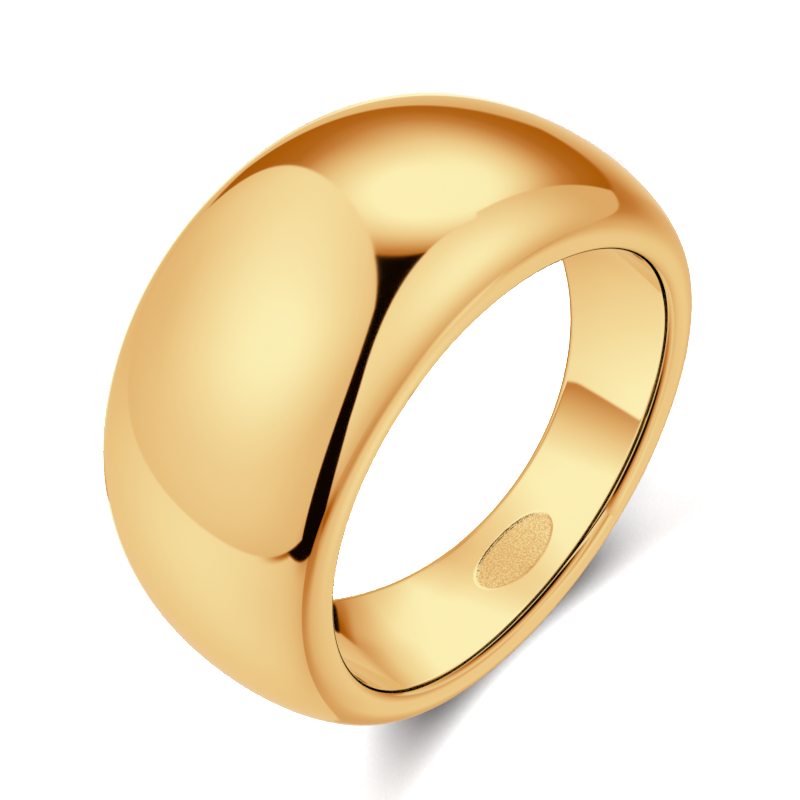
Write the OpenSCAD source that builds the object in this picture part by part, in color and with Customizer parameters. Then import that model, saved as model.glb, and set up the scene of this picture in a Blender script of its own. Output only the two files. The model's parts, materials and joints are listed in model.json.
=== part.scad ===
// Chunky domed finger ring, one piece of polished metal.
// The band is widest and thickest at the middle of the dome and tapers evenly to a slim shank opposite it.
// It is modelled lying on its side, in the attitude in which it settles by itself:
// +X points to the dome's side, +Z is up, and the rim touches the surface at z = 0.

/* [Finger] */
// Diameter of the bore that the finger goes through
bore_d = 17.3; // [14:0.1:22]
// Radius of the rounded edge at each end of the bore
edge_r = 0.4; // [0.2:0.05:0.6]

/* [Band width, along the bore] */
// Width at the middle of the dome
dome_w = 11.75; // [8:0.05:14]
// Width an eighth of the way round from the middle of the dome
shoulder_w = 10.9; // [8:0.05:13]
// Width at the sides, a quarter of the way round
side_w = 8.65; // [6:0.05:10]
// Width three eighths of the way round, where the shank begins
haunch_w = 5.55; // [4:0.05:7]
// Width at the middle of the shank
shank_w = 4.3; // [3:0.05:6]

/* [Band thickness, from the bore outwards] */
// Thickness at the middle of the dome
dome_t = 2.95; // [2:0.05:4]
// Thickness an eighth of the way round from the middle of the dome
shoulder_t = 3; // [2:0.05:4]
// Thickness at the sides, a quarter of the way round
side_t = 2.4; // [1.8:0.05:3.2]
// Thickness three eighths of the way round, where the shank begins
haunch_t = 2.15; // [1.4:0.05:2.8]
// Thickness at the middle of the shank
shank_t = 1.85; // [1.2:0.05:2.6]

/* [Crown] */
// Fullness of the domed section: 2 is an ellipse, more is squarer
fullness = 2.26; // [1.8:0.02:3]

/* [Hidden] */

// Facets round the ring, over the crown of a section, and over each rounded edge
ROUND_STEPS = 96;
CROWN_STEPS = 28;
EDGE_STEPS = 6;
// Each rounded edge runs into the bore as a short cone that the bore then cuts, this far in and this long
CONE_IN = 0.2;
CONE_LONG = 0.35;
// The limits between which the settled tilt is sought, and how closely, in degrees
TILT_MAX = 30;
TILT_STEP = 0.02;

bore_r = bore_d / 2;

// Width and thickness at stations an eighth of a turn apart, from the dome's middle to the shank's
widths = [dome_w, shoulder_w, side_w, haunch_w, shank_w];
thicknesses = [dome_t, shoulder_t, side_t, haunch_t, shank_t];

function sum(v) = v * [for (x = v) 1];

// The even cosine waves that pass through all the stations, so that the band swells without a crease
function waves(v) =
    let (n = len(v) - 1)
    [for (k = [0:n])
        (k == 0 || k == n ? 1 : 2) / n
        * sum([for (j = [0:n]) (j == 0 || j == n ? 0.5 : 1) * v[j] * cos(180 * j * k / n)])];

function at(waves, angle) = sum([for (k = [0:len(waves) - 1]) waves[k] * cos(k * angle)]);

width_waves = waves(widths);
thickness_waves = waves(thicknesses);

// One closed section as [radius, height] pairs, at an angle from the middle of the dome:
// the crown from the lower rim to the upper, then the upper rounded edge, and the lower one back
function section(angle) =
    let (
        half_w = at(width_waves, angle) / 2,
        crown_h = at(thickness_waves, angle) - edge_r,
        edge = [for (i = [1:EDGE_STEPS - 1])
            let (b = 90 * i / EDGE_STEPS)
            [bore_r + edge_r * (1 - sin(b)), half_w - edge_r * (1 - cos(b))]],
        upper = concat(edge, [[bore_r - CONE_IN, half_w - edge_r - CONE_LONG]])
    )
    concat(
        [for (i = [0:CROWN_STEPS])
            let (s = 180 * i / CROWN_STEPS - 90)
            [bore_r + edge_r + crown_h * pow(abs(cos(s)), 2 / fullness), half_w * sin(s)]],
        upper,
        [for (i = [len(upper) - 1:-1:0]) [upper[i][0], -upper[i][1]]]
    );

angles = [for (i = [0:ROUND_STEPS - 1]) 360 * i / ROUND_STEPS];
sections = [for (a = angles) section(a)];
SIDES = len(sections[0]);

// Points and triangles of the band with its bore upright
points = [for (i = [0:ROUND_STEPS - 1]) for (q = sections[i])
    [q[0] * cos(angles[i]), q[0] * sin(angles[i]), q[1]]];
faces = [for (i = [0:ROUND_STEPS - 1]) for (j = [0:SIDES - 1])
    let (
        i2 = (i + 1) % ROUND_STEPS,
        j2 = (j + 1) % SIDES,
        a = i * SIDES + j,
        b = i2 * SIDES + j,
        c = i2 * SIDES + j2,
        d = i * SIDES + j2
    )
    each [[a, d, c], [a, c, b]]];

// How far the dome's weight brings the centre of mass from the bore's axis
function ring_share(q, p) = (q[0] - p[0]) * (q[1] + p[1]) / 2;
section_areas = [for (s = sections)
    abs(sum([for (j = [0:SIDES - 1]) let (p = s[j], q = s[(j + 1) % SIDES]) ring_share(q, p)]))];
section_mids = [for (i = [0:ROUND_STEPS - 1]) bore_r + at(thickness_waves, angles[i]) / 2];
mass_x =
    sum([for (i = [0:ROUND_STEPS - 1]) section_areas[i] * pow(section_mids[i], 2) * cos(angles[i])])
    / sum([for (i = [0:ROUND_STEPS - 1]) section_areas[i] * section_mids[i]]);

// The ring settles at the tilt at which its centre of mass is lowest above its lowest point
lower_points = [for (p = points) if (p[2] < 0) p];
function mass_height(tilt) =
    max([for (p = lower_points) -(p[0] - mass_x) * sin(tilt) - p[2] * cos(tilt)]);
function settle(low, high) =
    let (a = low + (high - low) / 3, b = high - (high - low) / 3)
    high - low < TILT_STEP ? (low + high) / 2
    : mass_height(a) < mass_height(b) ? settle(low, b)
    : settle(a, high);
tilt = settle(0, TILT_MAX);

// Where the settled ring lies: lowest point at z = 0, and its box centred on the origin
settled_x = [for (p = points) p[0] * cos(tilt) - p[2] * sin(tilt)];
settled_z = [for (p = lower_points) p[0] * sin(tilt) + p[2] * cos(tilt)];
place = [-(min(settled_x) + max(settled_x)) / 2, 0, -min(settled_z)];

module band() {
    color("gold")
    translate(place)
    rotate([0, -tilt, 0])
    difference() {
        polyhedron(points, faces, convexity = 6);
        cylinder(r = bore_r, h = 2 * dome_w, center = true, $fn = ROUND_STEPS);
    }
}

band();
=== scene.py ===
"""Looks of a chunky dome ring: one smooth body of mirror-polished gold plate, lying on a pale floor.

Lengths are in millimetres, and MM turns them into metres where a Blender object is made.
The ring's own frame has its bore along Z and the middle of its dome along X.
Directions in the studio are given as seen from the ring: longitude 0, latitude 0 is the camera,
longitude grows to the camera's right and latitude towards the top of its frame.
"""
import json
import math

import bpy
import numpy as np
from mathutils import Matrix, Vector


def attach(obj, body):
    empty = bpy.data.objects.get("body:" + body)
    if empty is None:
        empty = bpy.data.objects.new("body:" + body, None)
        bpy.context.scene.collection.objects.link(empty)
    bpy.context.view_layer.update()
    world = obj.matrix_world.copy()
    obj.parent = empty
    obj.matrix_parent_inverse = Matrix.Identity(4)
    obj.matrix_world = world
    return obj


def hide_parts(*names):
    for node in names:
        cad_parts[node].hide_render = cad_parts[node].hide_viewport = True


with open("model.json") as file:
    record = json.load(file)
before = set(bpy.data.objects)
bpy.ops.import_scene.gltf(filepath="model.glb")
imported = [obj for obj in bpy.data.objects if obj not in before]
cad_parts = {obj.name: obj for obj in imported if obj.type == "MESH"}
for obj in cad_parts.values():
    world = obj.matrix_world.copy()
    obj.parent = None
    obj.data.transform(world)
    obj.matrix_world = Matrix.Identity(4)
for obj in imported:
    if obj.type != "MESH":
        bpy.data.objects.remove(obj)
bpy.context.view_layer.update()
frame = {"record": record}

MM = 0.001

# The bore, as the frame gives it
bore = next(m for m in frame["record"]["mounts"] if m["kind"] == "bore")
BORE_RADIUS = bore["dims"]["r_mm"]

# Width and thickness round the band, at every 45 degrees from the dome to the shank
BAND_WIDTHS = (11.75, 10.9, 8.65, 5.55, 4.3)
BAND_THICKNESSES = (2.95, 3.0, 2.4, 2.15, 1.85)
# How far the ring stays inside the solid's own surface, for the solid's faces are flat
INSET = 0.004
FULLNESS = 2.26

EDGE_RADIUS = 0.4

# Rows of faces over the crown, over each rounded edge and across the bore
CROWN_ROWS = 130
EDGE_ROWS = 14
BORE_ROWS = 64
# Columns of faces round the band: fine ones where the frosted mark is, even ones elsewhere
MARK_COLUMNS = 100
PLAIN_COLUMNS = 310
# How far the fine columns reach to each side of the mark's middle, as a share of its length
FINE_REACH = 0.56

# The frosted oval inside the bore: where it is, its size, its depth and how wide its wall is
MARK_ANGLE = 161.0
MARK_LENGTH = 3.6
MARK_WIDTH = 2.0
MARK_DEPTH = 0.04
MARK_WALL = 0.07

# The camera: a long lens, at the photograph's angle to the ring
VIEW_AZIMUTH = 84.39
VIEW_ELEVATION = 48.21
VIEW_ROLL = -125.31
VIEW_DISTANCE = 412.3
NEAREST_VIEW = 10.0
FARTHEST_VIEW = 10000.0
VIEW_AIM = (0.211, -0.091, 3.544)
LENS = 540.0
SENSOR = 36.0

# The floor's light: an even room light, a soft key above the camera, and beams from the camera's place
ROOM_LIGHT = 0.11
# Both are slightly warm, which shows where the ring's shadow is soft
WARM_LIGHT = (1.0, 0.96, 0.945)
KEY_POWER = 4.25
KEY_SIZE = 175.0
KEY_DISTANCE = 400.0
KEY_DIRECTION = (-7.7, 9.4)
# Each beam: how far right of and above the view's middle it aims, its radius, softness and power
BEAMS = {
    "bore_lower": (-0.9, -4.3, 3.6, 0.2, 20.0),
    "bore_middle": (1.9, -1.0, 4.0, 0.2, 20.0),
    "bore_upper": (4.1, 2.4, 3.2, 0.2, 20.0),
    "left": (-9.0, -5.9, 11.3, 0.85, 30.0),
    "below": (10.0, -16.2, 10.2, 0.56, 30.0),
    "lower_right": (12.5, -15.3, 11.0, 0.26, 13.0),
    "right_side": (11.8, 3.1, 6.2, 0.53, 20.0),
    "under_shank": (6.3, -1.4, 4.6, 1.0, 11.6),
}
BEAM_LAMP_SIZE = 1.0

FLOOR_SIZE = 4000.0
FLOOR_TONE = 0.9
FLOOR_MOTTLE = 0.05
FLOOR_ROUGHNESS = 0.85
# Grain and clouds per metre, how finely both are broken up, and the grain's height
FLOOR_GRAIN = 6000.0
FLOOR_CLOUDS = 40.0
FLOOR_DETAIL = 3.0
FLOOR_GRAIN_HEIGHT = 0.02

GOLD = (0.98, 0.82, 0.42)
# The plating keeps its colour where it is seen nearly edge on
EDGE_TINT = (0.994, 0.945, 0.766, 1.0)

# How many bounces Light Path counts where the world is mirrored once; a card counts one less
MIRRORED_ONCE = 2


def linear(r, g, b):
    """Linear colour of a display colour given in 0 to 255."""
    def one(c):
        c /= 255
        return c / 12.92 if c <= 0.04045 else ((c + 0.055) / 1.055) ** 2.4
    return one(r), one(g), one(b)


# How the lamps' light turns warm as it falls off, as the gold shows it from dark to full
LIGHT_COLOURS = (
    (0.00, (13, 4, 0)),
    (0.30, (150, 75, 2)),
    (0.42, (174, 94, 9)),
    (0.56, (197, 125, 54)),
    (0.70, (223, 172, 104)),
    (0.80, (236, 198, 132)),
    (0.90, (244, 218, 154)),
    (1.00, (253, 239, 179)),
)


def grey(value):
    return (value, value, value, 1.0)


def lamp_colours():
    """The light itself: what the gold shows, divided by the gold's own colour."""
    return [(place, (*(c / g for c, g in zip(linear(*shown), GOLD)), 1.0))
            for place, shown in LIGHT_COLOURS]


def direction(longitude, latitude):
    """Unit vector in studio axes: right, up, back towards the camera."""
    lon, lat = math.radians(longitude), math.radians(latitude)
    return Vector((math.sin(lon) * math.cos(lat), math.sin(lat), math.cos(lon) * math.cos(lat)))


def place_object(name, data, matrix=Matrix.Identity(4)):
    thing = bpy.data.objects.new(name, data)
    bpy.context.scene.collection.objects.link(thing)
    thing.matrix_world = matrix
    return thing


# Camera

def view_axes():
    """Matrix whose columns are the camera's right, up and back, in the part's frame."""
    az, el, roll = map(math.radians, (VIEW_AZIMUTH, VIEW_ELEVATION, VIEW_ROLL))
    back = Vector((math.sin(az) * math.cos(el), -math.cos(az) * math.cos(el), math.sin(el)))
    level_right = Vector((0, 0, 1)).cross(back).normalized()
    up = back.cross(level_right) * math.cos(roll) + level_right * math.sin(roll)
    return Matrix((up.cross(back), up, back)).transposed()


def make_camera():
    data = bpy.data.cameras.new("camera")
    data.lens = LENS
    data.sensor_width = SENSOR
    data.clip_start = NEAREST_VIEW * MM
    data.clip_end = FARTHEST_VIEW * MM
    axes = view_axes()
    place = (Vector(VIEW_AIM) + axes.col[2] * VIEW_DISTANCE) * MM
    bpy.context.scene.camera = place_object("camera", data, Matrix.Translation(place) @ axes.to_4x4())


# Ring's shape

def ring_frame():
    """The ring's own frame: its bore along Z, the middle of its dome along X."""
    along = Vector(bore["axis"]).normalized()
    across = along.cross(Vector((1, 0, 0))).normalized()
    axes = Matrix((across.cross(along), across, along)).transposed()
    return Matrix.Translation(bore["pos_m"]) @ axes.to_4x4()


RING_FRAME = ring_frame()


def waves(stations):
    """The even cosine waves that pass through stations spread evenly from the dome to the shank."""
    last = len(stations) - 1
    index = np.arange(last + 1)
    end_half = np.where((index == 0) | (index == last), 0.5, 1.0)
    return [2 / last * end_half[k] * np.sum(end_half * stations * np.cos(math.pi * index * k / last))
            for k in index]


def swell(stations, angles):
    return sum(w * np.cos(k * angles) for k, w in enumerate(waves(stations)))


def column_angles():
    """Angles of the columns, closer together across the mark."""
    half = MARK_LENGTH / BORE_RADIUS * FINE_REACH
    middle = math.radians(MARK_ANGLE)
    fine = np.linspace(middle - half, middle + half, MARK_COLUMNS, endpoint=False)
    rest = np.linspace(middle + half, middle - half + 2 * math.pi, PLAIN_COLUMNS, endpoint=False)
    return np.concatenate([fine, rest])


def mark_depth(arc, axial):
    """How deep the bore is sunk at a place given from the mark's middle."""
    radius = np.hypot(arc / (MARK_LENGTH / 2), axial / (MARK_WIDTH / 2))
    step = np.clip((1 - radius) * MARK_WIDTH / 2 / MARK_WALL, 0, 1)
    return MARK_DEPTH * step * step * (3 - 2 * step)


def ring_grid():
    """Points of the ring in its own frame: rows round the section, columns round the band."""
    angles = column_angles()
    half_width = swell(BAND_WIDTHS, angles) / 2 - INSET
    crown = swell(BAND_THICKNESSES, angles) - EDGE_RADIUS - INSET
    arc = BORE_RADIUS * (angles - math.radians(MARK_ANGLE))
    rows = []
    for s in np.linspace(-math.pi / 2, math.pi / 2, CROWN_ROWS + 1):
        rows.append((BORE_RADIUS + EDGE_RADIUS + crown * max(math.cos(s), 0) ** (2 / FULLNESS),
                     half_width * math.sin(s)))
    edge = []
    for b in np.linspace(0, math.pi / 2, EDGE_ROWS + 1)[1:]:
        height = half_width - EDGE_RADIUS * (1 - math.cos(b))
        edge.append((BORE_RADIUS + EDGE_RADIUS * (1 - math.sin(b)) + mark_depth(arc, height), height))
    rows += edge
    wall = half_width - EDGE_RADIUS
    for k in np.linspace(1, -1, BORE_ROWS + 1)[1:-1]:
        rows.append((BORE_RADIUS + mark_depth(arc, k * wall), k * wall))
    rows += [(radius, -height) for radius, height in reversed(edge)]
    ones = np.ones_like(angles)
    return np.array([np.stack([radius * np.cos(angles), radius * np.sin(angles), height * ones], -1)
                     for radius, height in rows])


def make_ring():
    grid = ring_grid()
    rows, columns = grid.shape[:2]
    number = np.arange(rows * columns).reshape(rows, columns)
    next_column, next_row = np.roll(number, -1, 1), np.roll(number, -1, 0)
    faces = np.stack([number, next_column, np.roll(next_column, -1, 0), next_row], -1)
    mesh = bpy.data.meshes.new("dome_ring")
    mesh.from_pydata((grid.reshape(-1, 3) * MM).tolist(), [], faces.reshape(-1, 4).tolist())
    mesh.transform(RING_FRAME)
    mesh.shade_smooth()
    mesh.materials.append(gold_material())
    return place_object("dome_ring", mesh)


# Node building

class Nodes:
    """Short names for the shader nodes that the materials and the studio use."""

    def __init__(self, owner):
        owner.use_nodes = True
        self.tree = owner.node_tree
        self.tree.nodes.clear()

    def add(self, kind, **settings):
        node = self.tree.nodes.new(kind)
        for name, value in settings.items():
            setattr(node, name, value)
        return node

    def feed(self, socket, value):
        if isinstance(value, bpy.types.NodeSocket):
            self.tree.links.new(value, socket)
        else:
            socket.default_value = value

    def shader(self, kind, output, **sockets):
        """A shader with its sockets set by name, led to the output."""
        node = self.add(kind)
        for name, value in sockets.items():
            self.feed(node.inputs[name.replace("_", " ")], value)
        self.feed(self.add(output).inputs["Surface"], node.outputs[0])
        return node

    def math(self, operation, a, b=0.0):
        node = self.add("ShaderNodeMath", operation=operation)
        self.feed(node.inputs[0], a)
        self.feed(node.inputs[1], b)
        return node.outputs[0]

    def dot(self, a, b):
        node = self.add("ShaderNodeVectorMath", operation="DOT_PRODUCT")
        self.feed(node.inputs[0], a)
        self.feed(node.inputs[1], b)
        return node.outputs["Value"]

    def smooth(self, value, low, high):
        """0 below low, 1 above high, and an even rise between."""
        node = self.add("ShaderNodeMapRange", interpolation_type="SMOOTHSTEP")
        for name, x in (("Value", value), ("From Min", low), ("From Max", high)):
            self.feed(node.inputs[name], x)
        return node.outputs["Result"]

    def mix(self, a, b, share):
        node = self.add("ShaderNodeMix", data_type="FLOAT")
        for name, x in ((0, share), (2, a), (3, b)):
            self.feed(node.inputs[name], x)
        return node.outputs[0]

    def mix_colours(self, a, b, share):
        node = self.add("ShaderNodeMix", data_type="RGBA")
        for name, x in ((0, share), (6, a), (7, b)):
            self.feed(node.inputs[name], x)
        return node.outputs[2]

    def ramp(self, value, stops):
        """stops are pairs of a place and a colour, from low to high."""
        stops = list(stops)
        node = self.add("ShaderNodeValToRGB")
        self.feed(node.inputs[0], value)
        elements = node.color_ramp.elements
        while len(elements) < len(stops):
            elements.new(0.5)
        for element, (place, colour) in zip(elements, stops):
            element.position = place
            element.color = colour
        return node.outputs["Color"]

    def total(self, *values):
        whole = values[0]
        for value in values[1:]:
            whole = self.math("ADD", whole, value)
        return whole

    def length(self, a, b):
        """Length of a flat vector."""
        return self.math("SQRT", self.total(self.math("POWER", a, 2.0), self.math("POWER", b, 2.0)))

    def bounced_under(self, count):
        """1 where light reached the eye in fewer bounces than count, else 0."""
        return self.math("LESS_THAN", self.add("ShaderNodeLightPath").outputs["Ray Depth"], count - 0.5)

    def outside(self, mask):
        return self.math("SUBTRACT", 1.0, mask)

    def all_of(self, *masks):
        whole = masks[0]
        for mask in masks[1:]:
            whole = self.math("MINIMUM", whole, mask)
        return whole

    def any_of(self, *masks):
        whole = masks[0]
        for mask in masks[1:]:
            whole = self.math("MAXIMUM", whole, mask)
        return whole


def noise(n, place, scale, detail=2.0):
    node = n.add("ShaderNodeTexNoise")
    n.feed(node.inputs["Vector"], place)
    n.feed(node.inputs["Scale"], scale)
    n.feed(node.inputs["Detail"], detail)
    return node.outputs["Fac"]


# Studio: a round edge or a glow is its longitude, latitude and radius, and its softness or its strength

class Studio(Nodes):
    """The light that the metal mirrors, painted over all directions round the ring."""

    def __init__(self, owner):
        super().__init__(owner)
        self.way = self.add("ShaderNodeTexCoord").outputs["Generated"]
        self.axes = view_axes()

    def angle(self, longitude, latitude):
        """Degrees between what is seen and a direction."""
        cosine = self.dot(self.way, self.axes @ direction(longitude, latitude))
        return self.math("MULTIPLY", self.math("ARCCOSINE", cosine), 180 / math.pi)

    def cap(self, longitude, latitude, radius, softness):
        """1 within radius degrees of a direction, 0 outside, with an edge that many degrees soft."""
        angle = self.angle(longitude, latitude)
        return self.outside(self.smooth(angle, radius - softness, radius + softness))

    def glow(self, longitude, latitude, radius, strength):
        """A wide, soft spot."""
        share = self.outside(self.smooth(self.angle(longitude, latitude), 0.0, radius))
        return self.math("MULTIPLY", share, strength)

    def lit(self, tone, spots):
        """A tone with glows added to it."""
        return self.total(tone, *(self.glow(*spot) for spot in spots))


# The overhead light is an oval: its middle, the direction that it is narrow towards, and how narrow
OVERHEAD = (61, 80)
OVERHEAD_NARROW = (-95, 10)
OVERHEAD_SQUEEZE = 1.33
# How it falls off, by degrees from its middle, and what changes that at the front and at the left
OVERHEAD_FALL = ((12, 1.0), (18, .97), (23, .91), (29, .81), (37, .66), (50, .45), (73, .37))
OVERHEAD_GLOWS = ((11, -64, 140, -5.2), (-77, 64, 34, .28))
# The lit floor and walls: their tone and glows, how high they reach, and where they reach higher
ROOM_TONE = .56
ROOM_GLOWS = ((-100, -38, 104, .37), (150, 21, 94, .30), (134, 35, 50, -.38), (138, -38, 38, .19))
ROOM_REACH = (0, -90, 119, 1.5)
ROOM_RISE = (-175, 20, 20, 1.5)


def overhead_angle(s):
    """Degrees from the overhead light's middle, counted faster on its narrow side."""
    middle, narrow = s.axes @ direction(*OVERHEAD), s.axes @ direction(*OVERHEAD_NARROW)
    aside = s.length(s.dot(s.way, middle.cross(narrow)), s.dot(s.way, narrow * OVERHEAD_SQUEEZE))
    return s.math("MULTIPLY", s.math("ARCTAN2", aside, s.dot(s.way, middle)), 180 / math.pi)


def room_light(s):
    """Lit floor and walls below, and the overhead light falling off to a dark band above them."""
    below = s.lit(ROOM_TONE, ROOM_GLOWS)
    fall = s.math("DIVIDE", overhead_angle(s), 90.0)
    above = s.ramp(fall, [(degrees / 90, grey(value)) for degrees, value in OVERHEAD_FALL])
    lower = s.any_of(s.cap(*ROOM_RISE), s.cap(*ROOM_REACH))
    return s.mix(s.lit(above, OVERHEAD_GLOWS), below, lower)


# The left box: its top edge, the part below it, its edge beside the gap, and its lower edge
LEFT_BOX_TOP = (-81, 4, 65, .6)
LEFT_BOX_BELOW_TOP = (0, -90, 100, 1)
LEFT_BOX_INNER = (-104.5, -2, 87.5, .6)
LEFT_BOX_LOWER = (161, -41, 83.5, .6)
LEFT_BOX_TONE = .74
LEFT_BOX_GLOWS = ((-59, 28, 46, .23), (-101, 64, 45, .16), (-72, -5, 58, .10))


def add_left_box(s, field):
    box = s.all_of(s.any_of(s.cap(*LEFT_BOX_TOP), s.cap(*LEFT_BOX_BELOW_TOP)), s.cap(*LEFT_BOX_INNER),
                   s.outside(s.cap(*LEFT_BOX_LOWER)))
    return s.mix(field, s.lit(LEFT_BOX_TONE, LEFT_BOX_GLOWS), box)


# The black card: its top edge, its slanting right edge, its foot, the part above that, and both ends
BLACK_CARD_TOP = (161, 85, 39, .8)
BLACK_CARD_SLANT = (-64, 2, 91, .8)
BLACK_CARD_FOOT = (-175, 5, 119, .7)
BLACK_CARD_ABOVE_FOOT = (0, 90, 90, 1)
BLACK_CARD_RIGHT_END = (-72, 0, 110, 1)
BLACK_CARD_LEFT_END = (60, 0, 110, 1)
# The shade beside its foot, under the left box's lower edge, and how wide that is
FOOT_SHADE = (-36, -56, 30, -.5)
FOOT_SHADE_WIDTH = 4.0


def add_black_card(s, field):
    """The unlit card that shows as a dark gap between the light boxes, and the shade beside its foot."""
    longitude, latitude, radius, _ = LEFT_BOX_LOWER
    edge = s.smooth(s.angle(longitude, latitude), radius - FOOT_SHADE_WIDTH, radius)
    shade = s.math("MULTIPLY", edge, s.glow(*FOOT_SHADE))
    foot = s.any_of(s.outside(s.cap(*BLACK_CARD_FOOT)), s.cap(*BLACK_CARD_ABOVE_FOOT))
    card = s.all_of(s.outside(s.cap(*BLACK_CARD_TOP)), foot, s.cap(*BLACK_CARD_SLANT),
                    s.cap(*BLACK_CARD_RIGHT_END), s.cap(*BLACK_CARD_LEFT_END))
    return s.mix(s.math("ADD", field, shade), 0.0, card)


RIGHT_BOX_TOP = (53.5, -36, 102.4, .7)
# Its edge beside the gap, and what bounds it there: round corner, middle, and the side of its low part
RIGHT_BOX_INNER = (-104, -21, 94.8, .7)
RIGHT_BOX_CORNER = (40, 15, 48.5, .7)
RIGHT_BOX_MIDDLE = (110, 0, 77, 1)
RIGHT_BOX_LOW_SIDE = (-104, -14.5, 96.7, .7)
RIGHT_BOX_LOW_PART = (0, -90, 96, 1)
# Its lower edge and the part above that, and the cut at its far corner and where that is made
RIGHT_BOX_LOWER = (92, 10, 92.6, .6)
RIGHT_BOX_ABOVE_LOWER = (0, 90, 140, 1)
RIGHT_BOX_CUT = (-161, -56, 99.5, .7)
RIGHT_BOX_CUT_PART = (140, 0, 60, 1)
RIGHT_BOX_TONE = .69
RIGHT_BOX_GLOWS = ((-29, 6, 88, .23), (48, 35, 59, .27), (68, -38, 29, -.14), (37, -54, 9, -.22))


def add_right_box(s, field):
    low_side = s.all_of(s.cap(*RIGHT_BOX_LOW_PART), s.outside(s.cap(*RIGHT_BOX_LOW_SIDE)))
    inner = s.all_of(s.outside(s.cap(*RIGHT_BOX_INNER)),
                     s.any_of(s.cap(*RIGHT_BOX_CORNER), s.cap(*RIGHT_BOX_MIDDLE), low_side))
    lower = s.all_of(s.any_of(s.cap(*RIGHT_BOX_LOWER), s.cap(*RIGHT_BOX_ABOVE_LOWER)),
                     s.outside(s.all_of(s.cap(*RIGHT_BOX_CUT), s.cap(*RIGHT_BOX_CUT_PART))))
    box = s.all_of(s.cap(*RIGHT_BOX_TOP), inner, lower)
    return s.mix(field, s.lit(RIGHT_BOX_TONE, RIGHT_BOX_GLOWS), box)


LOW_PANEL = (102, -41, 34, 9)
LOW_PANEL_TONE = .81
LOW_PANEL_GLOWS = ((95, -36, 18, .08), (66, -4, 24, .8))
# The shade inside the right box's lower edge: its width, its strength and where it lies
LINE_SHADE_WIDTH = 46
LINE_SHADE = -.12
LINE_SHADE_PART = (116, -38, 63, 5)
# Two wide dim spots, low in front and low at the left
LOW_GLOWS = ((4, -55, 21, -.20), (-95, -56, 38, -.06))


def add_low_panel(s, field):
    """The soft panel that the rim faces, and the shade whose crisp end shows as a line round the rim."""
    field = s.mix(field, s.lit(LOW_PANEL_TONE, LOW_PANEL_GLOWS), s.cap(*LOW_PANEL))
    longitude, latitude, radius, softness = RIGHT_BOX_LOWER
    inside = s.math("SUBTRACT", radius, s.angle(longitude, latitude))
    shade = s.all_of(s.outside(s.smooth(inside, 0, LINE_SHADE_WIDTH)),
                     s.smooth(inside, -softness, softness), s.cap(*LINE_SHADE_PART))
    return s.lit(s.math("ADD", field, s.math("MULTIPLY", shade, LINE_SHADE)), LOW_GLOWS)


def make_studio():
    world = bpy.data.worlds.new("studio")
    bpy.context.scene.world = world
    s = Studio(world)
    field = room_light(s)
    for add in (add_black_card, add_left_box, add_right_box, add_low_panel):
        field = add(s, field)
    mirrored = s.add("ShaderNodeBackground")
    s.feed(mirrored.inputs["Color"], s.ramp(field, lamp_colours()))
    s.feed(mirrored.inputs["Strength"], s.bounced_under(MIRRORED_ONCE + 1))
    plain = s.add("ShaderNodeBackground")
    plain.inputs["Color"].default_value = (*WARM_LIGHT, 1.0)
    plain.inputs["Strength"].default_value = ROOM_LIGHT
    either = s.shader("ShaderNodeMixShader", "ShaderNodeOutputWorld",
                      Fac=s.add("ShaderNodeLightPath").outputs["Is Glossy Ray"])
    s.feed(either.inputs[1], plain.outputs[0])
    s.feed(either.inputs[2], mirrored.outputs[0])


# Glowing cards, unseen by the camera, that only the polished metal mirrors: painted light and shade for
# the bore's and the rim's reflections

def card_places(n):
    """Shader places on a card, in millimetres."""
    place = n.add("ShaderNodeSeparateXYZ")
    n.feed(place.inputs[0], n.add("ShaderNodeTexCoord").outputs["Object"])
    return [n.math("DIVIDE", axis, MM) for axis in place.outputs]


def oval(n, x, y, middle, half_x, half_y, slope=0.0):
    """Distance from an oval's middle, 1 on its outline; slope leans its long side."""
    dx = n.math("SUBTRACT", x, middle[0])
    dy = n.math("SUBTRACT", n.math("SUBTRACT", y, middle[1]), n.math("MULTIPLY", dx, slope))
    return n.length(n.math("DIVIDE", dx, half_x), n.math("DIVIDE", dy, half_y))


def place_card(name, corners, material, matrix):
    mesh = bpy.data.meshes.new(name)
    mesh.from_pydata([Vector(c) * MM for c in corners], [], [range(len(corners))])
    mesh.materials.append(material)
    card = place_object(name, mesh, matrix)
    card.visible_camera = card.visible_diffuse = card.visible_shadow = card.visible_transmission = False


# The card under the ring, which the bore mirrors: places along the ring's own X and Y

BORE_CARD_DEPTH = 10.0
BORE_CARD_MIDDLE = (-5.0, 0.0)
BORE_CARD_RADIUS = 13.0
BORE_CARD_SIDES = 64
BORE_CARD_FOCUS = (-4.9, -0.6)
# Brightness by angle round the card's focus, with one crisp edge
BORE_CARD_ROUND = ((-180, .74), (-170, .65), (-150, .83), (-130, .94), (-118, 1.0), (-72, 1.06),
                   (-55, .94), (-40, .83), (-30, .83), (-10, .94), (8, 1.0), (20, .98), (30, .86),
                   (40, .72), (54.0, .55), (54.4, .945), (66, .945), (95, .90), (135, .825), (160, .76),
                   (180, .74))
# Its rise by distance from the focus, and the distance where that changes nothing
BORE_CARD_RISE = 0.018
BORE_CARD_EVEN = 8.0
# How many degrees the crisp edge bends near the focus, and where the bend ends
BORE_CARD_BEND = 5.0
BORE_CARD_BEND_ENDS = (5.6, 7.4)
# Two dim ovals: middle, half sizes, slope and strength; they lie under one straight edge
DIM_OVALS = (((-5.0, -2.6), 9.8, 3.0, .07, .14), ((-12.0, -.4), 5.3, 1.45, -.3, .32))
DIM_EDGE_SLOPE = .61
DIM_EDGE_HEIGHT = 6.2
DIM_EDGE_SOFTNESS = .3
# The black oval that lies on that edge, and where its edge starts
BLACK_OVAL = ((-9.7, -.75), 1.65, .46, -.2)
BLACK_OVAL_EDGE = .8
# The colour that the bore's corners show, where they mirror the card twice, and the gold's, met twice
CORNER_TONE = (229, 185, 118)
GOLD_TWICE = (0.96, 0.69, 0.21)


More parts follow.
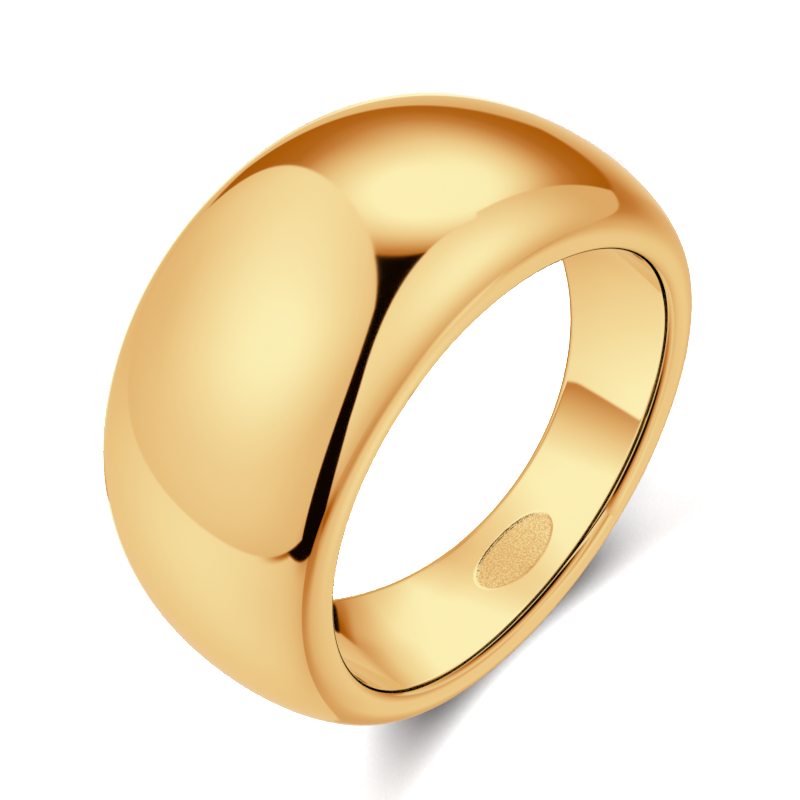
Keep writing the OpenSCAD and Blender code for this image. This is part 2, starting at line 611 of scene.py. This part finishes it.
def bore_card_light(n, x, y):
    """How bright the card is, by a place on it."""
    dx, dy = n.math("SUBTRACT", x, BORE_CARD_FOCUS[0]), n.math("SUBTRACT", y, BORE_CARD_FOCUS[1])
    reach = n.length(dx, dy)
    bend = n.math("MULTIPLY", n.outside(n.smooth(reach, *BORE_CARD_BEND_ENDS)), BORE_CARD_BEND / 360)
    turn = n.total(n.math("DIVIDE", n.math("ARCTAN2", dy, dx), 2 * math.pi), bend, 0.5)
    light = n.ramp(turn, [((degrees + 180) / 360, grey(value)) for degrees, value in BORE_CARD_ROUND])
    rise = n.math("MULTIPLY", n.math("SUBTRACT", reach, BORE_CARD_EVEN), BORE_CARD_RISE)
    light = n.math("ADD", light, rise)

    edge = n.math("ADD", n.math("SUBTRACT", n.math("MULTIPLY", x, DIM_EDGE_SLOPE), y), DIM_EDGE_HEIGHT)
    under = n.smooth(edge, 0, DIM_EDGE_SOFTNESS)
    for *shape, strength in DIM_OVALS:
        dim = n.outside(n.smooth(oval(n, x, y, *shape), 0.0, 1.0))
        light = n.math("SUBTRACT", light, n.math("MULTIPLY", n.math("MULTIPLY", dim, under), strength))
    black = n.outside(n.smooth(oval(n, x, y, *BLACK_OVAL), BLACK_OVAL_EDGE, 1.0))
    return n.mix(light, 0.0, black)


def bore_card_material():
    material = bpy.data.materials.new("bore_card")
    n = Nodes(material)
    x, y, _ = card_places(n)
    once = n.ramp(bore_card_light(n, x, y), lamp_colours())
    twice = (*(c / g for c, g in zip(linear(*CORNER_TONE), GOLD_TWICE)), 1.0)
    n.shader("ShaderNodeEmission", "ShaderNodeOutputMaterial",
             Color=n.mix_colours(twice, once, n.bounced_under(MIRRORED_ONCE)))
    return material


def make_bore_card():
    middle_x, middle_y = BORE_CARD_MIDDLE
    corners = [(middle_x + BORE_CARD_RADIUS * math.cos(a), middle_y + BORE_CARD_RADIUS * math.sin(a), 0)
               for a in np.linspace(0, 2 * math.pi, BORE_CARD_SIDES, endpoint=False)]
    below = Matrix.Translation((0, 0, -BORE_CARD_DEPTH * MM))
    place_card("bore_card", corners, bore_card_material(), RING_FRAME @ below)


# The card that stands over the bore, which the right rim mirrors: places along the ring's own X and Z

RIM_CARD_FOCUS = (-5.0, 4.6)
RIM_CARD_RADIUS = 10.0
RIM_CARD_FOOT = 2.4
RIM_CARD_SIDE = -4.0
# It is dark near its focus: a painted shade that the right rim mirrors
# How it brightens by distance from its focus, and where it begins to fade out
RIM_CARD_RISE = ((1.15, 0.0), (1.45, .45), (2.0, .53), (3.0, .65), (4.0, .72), (5.0, .765), (6.0, .79),
                 (8.0, .81), (10.0, .82))
RIM_CARD_FADE = 6.5
# How far up its foot fades out too
RIM_CARD_FOOT_FADE = 1.5
# The bright corner of the foot: how bright, and its soft edges along Z and X
BRIGHT_FOOT = .95
BRIGHT_FOOT_TOP = (3.1, 3.5)
BRIGHT_FOOT_SIDE = (-6.3, -5.5)


def rim_card_material():
    material = bpy.data.materials.new("rim_card")
    n = Nodes(material)
    x, _, z = card_places(n)
    reach = oval(n, x, z, RIM_CARD_FOCUS, 1.0, 1.0)
    light = n.ramp(n.math("DIVIDE", reach, RIM_CARD_RADIUS),
                   [(distance / RIM_CARD_RADIUS, grey(value)) for distance, value in RIM_CARD_RISE])
    bright = n.all_of(n.outside(n.smooth(z, *BRIGHT_FOOT_TOP)), n.smooth(x, *BRIGHT_FOOT_SIDE))
    glow = n.add("ShaderNodeEmission")
    n.feed(glow.inputs["Color"], n.ramp(n.mix(light, BRIGHT_FOOT, bright), lamp_colours()))
    foot = n.outside(n.smooth(z, RIM_CARD_FOOT, RIM_CARD_FOOT + RIM_CARD_FOOT_FADE))
    fading = n.shader("ShaderNodeMixShader", "ShaderNodeOutputMaterial",
                      Fac=n.any_of(n.smooth(reach, RIM_CARD_FADE, RIM_CARD_RADIUS), foot))
    n.feed(fading.inputs[1], glow.outputs[0])
    n.feed(fading.inputs[2], n.add("ShaderNodeBsdfTransparent").outputs[0])
    return material


def make_rim_card():
    left, top = RIM_CARD_FOCUS[0] - RIM_CARD_RADIUS, RIM_CARD_FOCUS[1] + RIM_CARD_RADIUS
    corners = [(left, 0, RIM_CARD_FOOT), (RIM_CARD_SIDE, 0, RIM_CARD_FOOT), (RIM_CARD_SIDE, 0, top),
               (left, 0, top)]
    place_card("rim_card", corners, rim_card_material(), RING_FRAME)


# Floor and its lights

def floor_material():
    """Matte pale board: a fine grain and broad, faint clouds."""
    material = bpy.data.materials.new("pale_floor")
    n = Nodes(material)
    place = n.add("ShaderNodeTexCoord").outputs["Object"]
    grain = noise(n, place, FLOOR_GRAIN, FLOOR_DETAIL)
    clouds = noise(n, place, FLOOR_CLOUDS, FLOOR_DETAIL)
    mottle = n.math("MULTIPLY", n.math("ADD", grain, clouds), 0.5)
    tone = n.ramp(mottle, [(.3, grey(FLOOR_TONE - FLOOR_MOTTLE)), (.7, grey(FLOOR_TONE))])
    bump = n.add("ShaderNodeBump")
    n.feed(bump.inputs["Distance"], FLOOR_GRAIN_HEIGHT * MM)
    n.feed(bump.inputs["Height"], grain)
    n.shader("ShaderNodeBsdfPrincipled", "ShaderNodeOutputMaterial", Base_Color=tone,
             Roughness=FLOOR_ROUGHNESS, Normal=bump.outputs[0])
    return material


def make_floor():
    half = FLOOR_SIZE * MM / 2
    corners = [(-half, -half, 0), (half, -half, 0), (half, half, 0), (-half, half, 0)]
    mesh = bpy.data.meshes.new("floor")
    mesh.from_pydata(corners, [], [(0, 1, 2, 3)])
    mesh.materials.append(floor_material())
    floor = place_object("floor", mesh)
    floor.visible_glossy = False


def make_light(name, kind, power, place, aim):
    """A lamp that lights the floor but isn't mirrored, at a place and turned to its aim."""
    data = bpy.data.lights.new(name, kind)
    data.energy = power
    turn = (place - aim).to_track_quat("Z", "Y").to_matrix().to_4x4()
    lamp = place_object(name, data, Matrix.Translation(place * MM) @ turn)
    lamp.visible_glossy = False
    return data


def make_lights():
    axes = view_axes()
    middle = Vector(VIEW_AIM)
    key_place = middle + axes @ direction(*KEY_DIRECTION) * KEY_DISTANCE
    key = make_light("key", "AREA", KEY_POWER, key_place, middle)
    key.color = WARM_LIGHT
    key.shape = "DISK"
    key.size = KEY_SIZE * MM
    camera = middle + axes.col[2] * VIEW_DISTANCE
    for name, (right, up, radius, softness, power) in BEAMS.items():
        beam = make_light("beam_" + name, "SPOT", power, camera, middle + axes @ Vector((right, up, 0)))
        beam.spot_size = 2 * math.atan(radius / VIEW_DISTANCE)
        beam.spot_blend = softness
        beam.shadow_soft_size = BEAM_LAMP_SIZE * MM


# Gold

# Roughness of the polish, and how much its streaks and finger smudges change it
POLISH = 0.03
STREAK_ROUGHNESS = 0.02
SMUDGE_ROUGHNESS = 0.03
# Polishing streaks: how fine they are along and across the band, per millimetre, and their height
STREAKS_ALONG = 0.25
STREAKS_ACROSS = 9.0
STREAK_HEIGHT = 0.00004
# Broad clouds: how many per metre, where smudges rise in them, and how they change the gold's tone
CLOUDS = 200.0
SMUDGE_RISE = (.45, .75)
CLOUD_RISE = (.35, .65)
CLOUD_TONE = .985
# The frosting: grains per millimetre, their height, the roughness, and its gold with painted shade in low
# grains and painted highlight on high ones
FROST_GRAINS = 15.0
FROST_HEIGHT = 0.011
FROST_ROUGHNESS = 0.22
FROST_PIT_SHADE = (0.84, 0.52, 0.2, 1)
FROST_TOP_HIGHLIGHT = (0.97, 0.78, 0.37, 1)
FROST_RISE = (.35, .6)
# Where the frosting ends: by share of the oval, and by millimetres past the bore's wall
FROST_EDGE = (.93, .99)
FROST_BACK = (.2, .25)


def ring_places(n):
    """Shader places on the ring in millimetres: along the band, along the bore, and out from the axis."""
    point = n.add("ShaderNodeVectorMath", operation="SUBTRACT")
    n.feed(point.inputs[0], n.add("ShaderNodeTexCoord").outputs["Object"])
    n.feed(point.inputs[1], RING_FRAME.translation)
    x, y, z = (n.math("DIVIDE", n.dot(point.outputs[0], axis), MM) for axis in RING_FRAME.to_3x3().col)
    # Angles are counted from the shank, so that their jump lies on the dome, away from the oval
    turn = n.math("ARCTAN2", n.math("MULTIPLY", y, -1.0), n.math("MULTIPLY", x, -1.0))
    return turn, z, n.length(x, y)


def frosted(n, turn, along_bore, radius):
    """1 inside the frosted oval, only on the bore's wall."""
    arc = n.math("MULTIPLY", n.math("SUBTRACT", turn, math.radians(MARK_ANGLE - 180)), BORE_RADIUS)
    size = oval(n, arc, along_bore, (0, 0), MARK_LENGTH / 2, MARK_WIDTH / 2)
    past_wall = n.math("SUBTRACT", radius, BORE_RADIUS)
    return n.all_of(n.outside(n.smooth(size, *FROST_EDGE)), n.outside(n.smooth(past_wall, *FROST_BACK)))


def polishing_streaks(n, turn, along_bore, radius):
    """Fine streaks that run along the band."""
    place = n.add("ShaderNodeCombineXYZ")
    n.feed(place.inputs[0], n.math("MULTIPLY", turn, BORE_RADIUS * STREAKS_ALONG))
    n.feed(place.inputs[1], n.math("MULTIPLY", along_bore, STREAKS_ACROSS))
    n.feed(place.inputs[2], n.math("MULTIPLY", radius, STREAKS_ACROSS))
    return noise(n, place.outputs[0], 1.0)


def gold_material():
    material = bpy.data.materials.new("polished_gold")
    n = Nodes(material)
    places = ring_places(n)
    frost, streaks = frosted(n, *places), polishing_streaks(n, *places)
    even_place = n.add("ShaderNodeTexCoord").outputs["Object"]
    clouds = noise(n, even_place, CLOUDS)
    grains = noise(n, even_place, FROST_GRAINS / MM, 1.0)

    smudges = n.smooth(clouds, *SMUDGE_RISE)
    roughness = n.total(POLISH, n.math("MULTIPLY", streaks, STREAK_ROUGHNESS),
                        n.math("MULTIPLY", smudges, SMUDGE_ROUGHNESS))
    roughness = n.mix(roughness, FROST_ROUGHNESS, frost)
    cloudy = (*(c * CLOUD_TONE for c in GOLD), 1)
    polished_tone = n.ramp(clouds, zip(CLOUD_RISE, (cloudy, (*GOLD, 1))))
    # Grains that the bump raises get a painted highlight, and low ones a painted shade, over the
    # frosting's own gold
    frost_gold_and_shading = n.ramp(grains, zip(FROST_RISE, (FROST_PIT_SHADE, FROST_TOP_HIGHLIGHT)))
    tone = n.mix_colours(polished_tone, frost_gold_and_shading, frost)

    streak_height = n.math("MULTIPLY", streaks, STREAK_HEIGHT)
    height = n.mix(streak_height, n.math("MULTIPLY", grains, FROST_HEIGHT), frost)
    bump = n.add("ShaderNodeBump")
    n.feed(bump.inputs["Strength"], 1.0)
    n.feed(bump.inputs["Distance"], MM)
    n.feed(bump.inputs["Height"], height)
    n.shader("ShaderNodeBsdfPrincipled", "ShaderNodeOutputMaterial", Base_Color=tone, Metallic=1.0,
             Roughness=roughness, Specular_Tint=EDGE_TINT, Normal=bump.outputs[0])
    return material


make_camera()
make_studio()
make_floor()
make_lights()
make_bore_card()
make_rim_card()

ring = make_ring()
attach(ring, "root")
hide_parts("band")

bpy.context.scene.view_settings.view_transform = "Standard"
